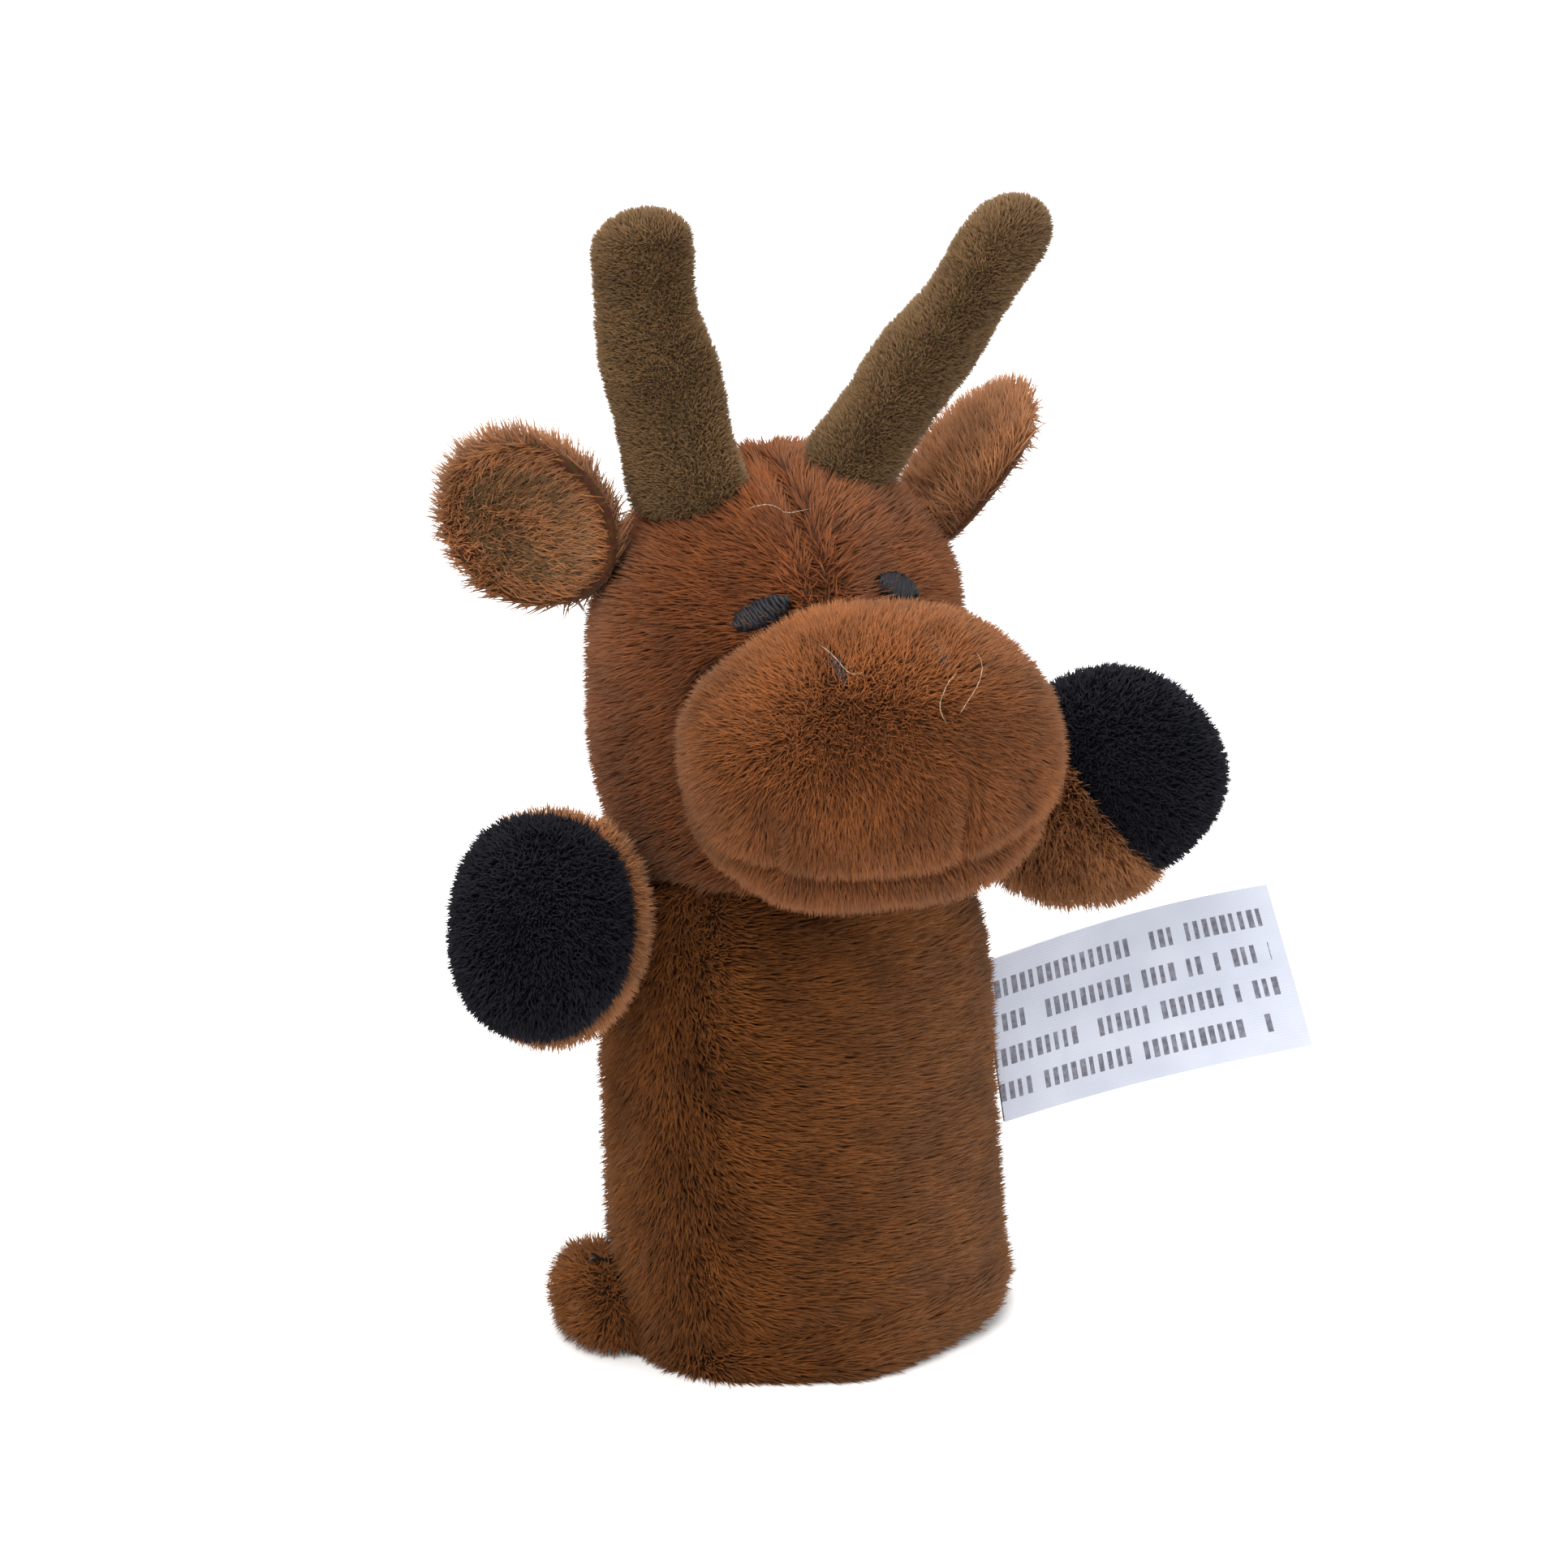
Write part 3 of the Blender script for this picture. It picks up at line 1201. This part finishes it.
for side, word in ((1, "left"), (-1, "right")):
    flip = Matrix() if side > 0 else mirror_x
    hoof_slant = hoof_slants[side]
    deselect()
    bpy.ops.mesh.primitive_uv_sphere_add(segments=96, ring_count=64, radius=1)
    arm_skin = start("arm_skin")
    sculpt(arm_skin, arm_form)
    outward(arm_skin)
    swell(arm_skin, arm_held, pressure=2.5, most=0.6)
    sculpt(arm_skin, arm_details)
    stand = moved(arm_x, 0, arm_z) @ arm_turn[side]
    whole = Matrix.Scale(mm, 4) @ slump @ flip @ stand
    seam_at = whole @ Vector((hoof_from, 0, 0))
    seam_way = (whole.to_3x3() @ Vector((1, hoof_slant, 0))).normalized()
    place(arm_skin, flip, stand)
    along = np.array((slump @ flip @ stand).to_3x3() @ Vector((1, 0, 0)))
    arm_comb = along * 0.55 + up((0, 0, -0.35))
    brush(arm_skin, lambda co: np.tile(arm_comb, (len(co), 1)))
    for name, way, kit in (
            (f"arm_{word}_cover", -1, (fluff_pile, brown_cloth, "plush_brown")),
            (f"hoof_{word}_cover", 1, (black_pile, black_cloth, "plush_black"))):
        part = cut(copy_of(arm_skin, name + "_cloth"), seam_at, seam_way * way)
        if way > 0:
            pile = plant(part, name + "_pile", kit[0], 20, 1.25, 0.20, 0.8, 0.6, 1.1, curly_tuft)
        else:
            pile = plant(part, name + "_pile", kit[0], 28, 2.1, 0.24, 0.5, 0.6, 1.6)
        backing(part, kit[1])
        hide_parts(name)
        for piece in (part, pile):
            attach(piece, f"arm_{word}")
    remove(arm_skin)

# %% [markdown]
# ## Eyes, nostrils and seams of thread
# The eyes and nostrils are satin stitch: side by side strands of glossy thread. One
# strand is a thin, six-sided tube with rounded, sunken ends, and copies of it lie next to
# each other to fill the shape.

# %% Thread material
def thread_material(name, colour, tint):
    material, shader = new_material(name, 0.55, 0.04, tint, 0.3)
    place_ = add(material, "ShaderNodeTexCoord").outputs["Object"]
    ply = add(material, "ShaderNodeTexWave",
              [("Vector", place_), ("Scale", 1 / (0.22 * mm) / 6.28), ("Distortion", 2.0)])
    tone = mixed(material, "MIX", ply.outputs["Fac"],
                 (*[c * 0.6 for c in colour], 1), (*[c * 1.3 for c in colour], 1))
    material.node_tree.links.new(tone, shader.inputs["Base Color"])
    bump(material, shader, ply.outputs["Fac"], 0.05 * mm, 0.5)
    return material


black_thread = thread_material("thread_black", (0.004, 0.004, 0.007), (0.7, 0.8, 1))
brown_thread = thread_material("thread_brown", (0.050, 0.020, 0.010), (1, 0.7, 0.5))
print("threads ready")

# %% Lay stitches
def stitches(name, lines, radius, material):
    """Joins short tubes, one for each line of points, into one piece. Points in metres."""
    made = []
    for line in lines:
        deselect()
        bpy.ops.mesh.primitive_cylinder_add(vertices=6, radius=radius, depth=1,
                                            end_fill_type="TRIFAN")
        strand = start("strand")
        shape = bmesh.new()
        shape.from_mesh(strand.data)
        long_edges = [e for e in shape.edges
                      if abs(e.verts[0].co.z - e.verts[1].co.z) > 0.5]
        bmesh.ops.subdivide_edges(shape, edges=long_edges, cuts=len(line) - 2,
                                  use_grid_fill=True)
        shape.to_mesh(strand.data)
        shape.free()
        line = np.asarray(line)

        def follow(co, line=line):
            t = np.clip(co[:, 2] + 0.5, 0, 1) * (len(line) - 1)
            low = np.minimum(t.astype(int), len(line) - 2)
            part_ = (t - low)[:, None]
            centre = line[low] * (1 - part_) + line[low + 1] * part_
            way = line[-1] - line[0]
            way = way / np.linalg.norm(way)
            side_ = np.cross(way, [0.0, -1.0, 0.2])
            side_ /= np.linalg.norm(side_)
            top_ = np.cross(side_, way)
            taper = np.sqrt(np.maximum(1 - (2 * np.clip(co[:, 2] + 0.5, 0, 1) - 1) ** 6, 0.1))
            return centre + (side_ * (co[:, :1] * taper[:, None])
                             + top_ * (co[:, 1:2] * taper[:, None]))

        sculpt(strand, follow)
        made.append(strand)
    deselect()
    for strand in made:
        strand.select_set(True)
    bpy.context.view_layer.objects.active = made[0]
    if len(made) > 1:
        bpy.ops.object.join()
    piece = start(name)
    outward(piece)
    piece.data.materials.clear()
    piece.data.materials.append(material)
    pick(piece)
    bpy.ops.object.shade_smooth()
    return piece


def oval_lines(surface, x, z, turn_deg, length, height, pitch, proud):
    """Strand lines that fill an oval lying on a surface, at upright x and z."""
    turn_ = math.radians(turn_deg)
    lines = []
    count = max(int(length / pitch), 2)
    for index in range(count):
        t = (index + 0.5) / count * 2 - 1
        reach = height / 2 * math.sqrt(max(1 - t * t, 0.08)) * rng.uniform(0.88, 1.1)
        line = []
        for s in np.linspace(-1, 1, 6):
            a, b = t * length / 2 + rng.uniform(-0.05, 0.05), reach * s
            point, _ = on_surface(surface, x + a * math.cos(turn_) - b * math.sin(turn_),
                                  z + a * math.sin(turn_) + b * math.cos(turn_),
                                  proud - 0.9 * abs(s) ** 4 + rng.uniform(-0.06, 0.06))
            line.append(point)
        lines.append(line)
    return lines


print("stitching ready")

# %% Stitch the eyes and nostrils
eye_x, eye_off = 5.7, 0.9   # each eye from their middle, and that middle from the head's
eye_z = neck_z + 0.69 * head_h - 1.1
nostril_x, nostril_z = 0.13 * muzzle_size.x, muzzle_at.z + 0.36 * muzzle_size.z
for side, word in ((1, "left"), (-1, "right")):
    lines = oval_lines(head_surface, side * eye_x + eye_off, eye_z, -28 * side,
                       4.4, 2.7, 0.27, 1.15)
    eye = stitches(f"eye_{word}_satin_stitch", lines, 0.20 * mm, black_thread)
    lines = oval_lines(muzzle_surface, side * nostril_x + muzzle_off, nostril_z,
                       -12 * side, 0.9, 2.7, 0.3, 0.75)
    nostril = stitches(f"nostril_{word}_satin_stitch", lines, 0.17 * mm, black_thread)
    for piece, node in ((eye, f"eye_{word}"), (nostril, f"nostril_{word}")):
        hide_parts(node)
        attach(piece, "head")
print("face stitched")

# %% [markdown]
# The mouth and the forehead are seams, closed by short stitches that sit deep in the
# crease between two piles. Each is a row of strands end to end.

# %% Stitch the mouth and the forehead
mouth_lines = []
for x in np.arange(-9.8, 12.3, 2.0):
    ends = np.linspace(x - 0.8, x + 0.8, 5)
    mouth_lines.append([on_surface(muzzle_surface, a, float(mouth_line(a)), 0.12)[0] for a in ends])
mouth = stitches("mouth_seam_stitches", mouth_lines, 0.16 * mm, brown_thread)
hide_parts("mouth_stitch")
forehead_lines = []
for z in np.arange(70.2, 77.4, 1.6):
    ends = np.linspace(z - 0.62, z + 0.62, 5)
    forehead_lines.append([on_surface(head_surface, 0.0, a, 0.15)[0] for a in ends])
forehead = stitches("forehead_seam_stitches", forehead_lines, 0.15 * mm, brown_thread)
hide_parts("forehead_seam")
for piece in (mouth, forehead):
    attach(piece, "head")
print("seams stitched")

# %% [markdown]
# A run of dark thread holds the hem's facing inside, and its two ends stick out at the
# side seam, where the hem's corner is folded outwards into a small soft lobe.

# %% Hem stitches
hem_lines = []
for index in range(46):
    middle_turn = 2 * math.pi * index / 46
    line = []
    for s in np.linspace(-0.042, 0.042, 4):
        radius = sleeve_radius(8) - skin_sink - cloth_t - 1.25
        line.append(np.array(slump @ Vector((wide * radius * math.cos(middle_turn + s),
                                             radius * math.sin(middle_turn + s), 8.3))) * mm)
    hem_lines.append(line)
flare_at = Vector((-hem_w / 2 + 0.6, 3.2, 4.4))
for lift, reach in ((1.0, -2.6), (0.3, -1.6)):
    start_point = flare_at + Vector((-0.6 + lift, -2.2, 4.2))
    bend = [start_point + Vector((reach * t, -0.6 * t, 1.9 * t - 1.1 * t * t * lift))
            for t in np.linspace(0, 1, 7)]
    hem_lines.append([np.array(slump @ point) * mm for point in bend])
hem_thread = stitches("hem_thread", hem_lines, 0.14 * mm, black_thread)
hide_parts("hem_stitching")
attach(hem_thread, "sleeve")

# %% Shape the hem's lobe
deselect()
bpy.ops.mesh.primitive_uv_sphere_add(segments=72, ring_count=48, radius=1)
lobe = start("hem_flare_cloth")


def lobe_form(co):
    """An ear-like flap: flat underneath, a dent where the cloth folds over."""
    out = co * [3.6, 5.3, 4.3]
    out[:, 2] = np.maximum(out[:, 2], -4.05)
    dent = gauss(np.hypot(co[:, 1] + 0.35, co[:, 2] - 0.15), 0.3) * (co[:, 0] < 0)
    out[:, 0] += 1.3 * dent
    return out + 0.3 * lumps(out, 4, 33)[:, None] + np.array(flare_at)


sculpt(lobe, lobe_form)
sculpt(lobe, lambda co: np.c_[co[:, :2], np.maximum(co[:, 2], 0.6)])
outward(lobe)
place(lobe)
brush(lobe, lambda co: np.tile([-0.15, -0.1, -0.35], (len(co), 1)),
      lambda co: 1.0 * (co[:, 2] > 1.0 * mm))
lobe_pile = plant(lobe, "hem_flare_pile", brown_pile, 24, 1.8, 0.26, 0.5, 0.6, 1.5)
backing(lobe, brown_cloth)
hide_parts("hem_flare")
for piece in (lobe, lobe_pile):
    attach(piece, "sleeve")

# %% [markdown]
# ## The care label
# A satin ribbon sewn into the side seam. It leaves the seam upright, rises a little, and
# leans back towards its free end. Its print is a generic one: rows of small grey blocks
# that stand for lines of text and say nothing. The blocks are drawn from the ribbon's own
# UV map, so they bend with it.

# %% Ribbon material
def ribbon_material():
    material, shader = new_material("satin_ribbon", 0.45, 0.25, (1, 1, 1), 0.4)
    spot = add(material, "ShaderNodeSeparateXYZ", [
        ("Vector", add(material, "ShaderNodeUVMap", uv_map="ribbon").outputs[0])])

    def maths(operation, a, b=0.0, c=0.0):
        node = add(material, "ShaderNodeMath", [(0, a), (1, b), (2, c)], operation=operation)
        return node.outputs[0]

    along, across = spot.outputs["X"], spot.outputs["Y"]
    rows = maths("MULTIPLY_ADD", across, 4.75, -0.38)
    row = maths("FLOOR", rows)
    in_row = maths("FRACT", rows)
    letters = maths("ADD", maths("MULTIPLY", along, 33.0), maths("MULTIPLY", row, 0.37))
    letter = maths("FLOOR", letters)
    in_letter = maths("FRACT", letters)
    key = add(material, "ShaderNodeCombineXYZ", [("X", letter), ("Y", row)]).outputs[0]
    chance = add(material, "ShaderNodeTexWhiteNoise", [("Vector", key)],
                 noise_dimensions="3D").outputs["Value"]
    body = maths("MULTIPLY", maths("LESS_THAN", in_letter, maths("MULTIPLY_ADD", chance, 0.3, 0.4)),
                 maths("GREATER_THAN", chance, 0.17))
    tall = maths("MULTIPLY", maths("GREATER_THAN", in_row, 0.22), maths("LESS_THAN", in_row, 0.74))
    inside = maths("MULTIPLY", maths("GREATER_THAN", rows, 0.0), maths("LESS_THAN", rows, 4.0))
    margin = maths("LESS_THAN", along, 0.95)
    print_ = maths("MULTIPLY", maths("MULTIPLY", body, tall), maths("MULTIPLY", inside, margin))
    place_ = add(material, "ShaderNodeTexCoord").outputs["Object"]
    worn = noise(material, place_, 0.5 * mm, 4).outputs["Fac"]
    ink = maths("MULTIPLY", print_, spread_of(material, worn, 0.25, 0.6, 0.62, 0.95))
    soft = noise(material, place_, 6 * mm, 2).outputs["Fac"]
    paper_ = mixed(material, "MIX", spread_of(material, soft, 0.3, 0.7),
                   (0.37, 0.39, 0.46, 1), (0.43, 0.45, 0.52, 1))
    tone = mixed(material, "MIX", ink, paper_, (0.055, 0.055, 0.075, 1))
    material.node_tree.links.new(tone, shader.inputs["Base Color"])
    weave = add(material, "ShaderNodeTexWave",
                [("Vector", add(material, "ShaderNodeUVMap", uv_map="ribbon").outputs[0]),
                 ("Scale", 18.0), ("Distortion", 0.3)], bands_direction="Y")
    bump(material, shader, weave.outputs["Fac"], 0.02 * mm, 0.4)
    return material


satin = ribbon_material()
print("ribbon ready")

# %% Cut and bend the ribbon
label_len, label_w = 28.6, 14.8
label_z = 0.47 * neck_z
label_x = wide * sleeve_radius(label_z) + 1.3
deselect()
bpy.ops.mesh.primitive_grid_add(x_subdivisions=64, y_subdivisions=28, size=2)
label = start("care_label_ribbon")
uv = label.data.uv_layers[0] if label.data.uv_layers else label.data.uv_layers.new()
uv.name = "ribbon"
for loop in label.data.loops:
    co = label.data.vertices[loop.vertex_index].co
    uv.data[loop.index].uv = ((co.x + 1) / 2, (co.y + 1) / 2)


def ribbon_form(co):
    """u runs from the seam to the free end, v from the lower edge to the upper."""
    u, v = (co[:, 0] + 1) / 2, co[:, 1] / 2
    lean_ = np.radians(4 + 24 * u ** 1.3)
    x = label_len * (u - 0.045) * 0.993
    wave = 0.9 * np.sin(u * 3.0) - 0.5 * u
    y = wave + v * label_w * np.sin(lean_)
    z = v * label_w * np.cos(lean_) + 0.35 * np.sin(u * 2.6)
    return np.c_[x, y, z]


sculpt(label, ribbon_form)
outward(label)
finish_modifier(label, "SOLIDIFY", thickness=0.34, offset=0)
place(label, moved(label_x, 0, label_z), turned(0, -4, 0))
label.data.materials.append(satin)
pick(label)
bpy.ops.object.shade_smooth_by_angle(angle=math.radians(40))
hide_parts("care_label")
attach(label, "label")
print("label", [round(v * 1000, 1) for v in label.dimensions])

# %% [markdown]
# A few loose pale fibres cling to the plush, as they do on any toy that was handled.

# %% Stray fibres
def stray(surface, x, z, size, seed, proud=1.7):
    """A curved hair of about size mm lying on the pile."""
    local = np.random.default_rng(seed)
    turn_ = local.uniform(0, math.pi)
    curl = local.uniform(-0.5, 0.5)
    points = []
    for t in np.linspace(-0.5, 0.5, 9):
        a, b = t * size, curl * size * (0.25 - t * t) * 2
        point, _ = on_surface(surface, x + a * math.cos(turn_) - b * math.sin(turn_),
                              z + a * math.sin(turn_) + b * math.cos(turn_),
                              proud + 0.5 * math.sin(7 * t))
        points.append(point)
    return points


pale_fibre = thread_material("loose_fibre", (0.34, 0.24, 0.16), (1, 1, 1))
hairs = [stray(muzzle_surface, 6.2, 64.2, 4.2, 2), stray(muzzle_surface, 4.6, 63.6, 3.4, 8),
         stray(muzzle_surface, -2.6, 66.6, 2.8, 5), stray(head_surface, -2.4, 74.4, 3.0, 4, 2.4)]
loose = stitches("loose_fibres", hairs, 0.028 * mm, pale_fibre)
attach(loose, "head")

# %% [markdown]
# ## Filling
# The filling of the head, muzzle and arms is a copy of its CAD solid, a little smaller so
# that it stays under its skin. It looks like matted white polyester fibre, in case an
# opening lets one see it.

# %% Dress the filling
filling_share = 0.93
for name, node in list(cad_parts.items()):
    if name.endswith("_stuffing") and not name.startswith("antler"):
        inside = copy_of(node, name + "_fibre")
        middle = points_of(inside).mean(axis=0)
        sculpt(inside, lambda co: middle + filling_share * (co - middle))
        inside.data.materials.clear()
        inside.data.materials.append(filling)
        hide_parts(name)
        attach(inside, "head" if name in ("head_stuffing", "muzzle_stuffing")
                else name.removesuffix("_stuffing"))

# %% Tidy up and write the sizes
remove(straight_tuft, curly_tuft)
print("faces of pile in all:", sum(tuft_count.values()))
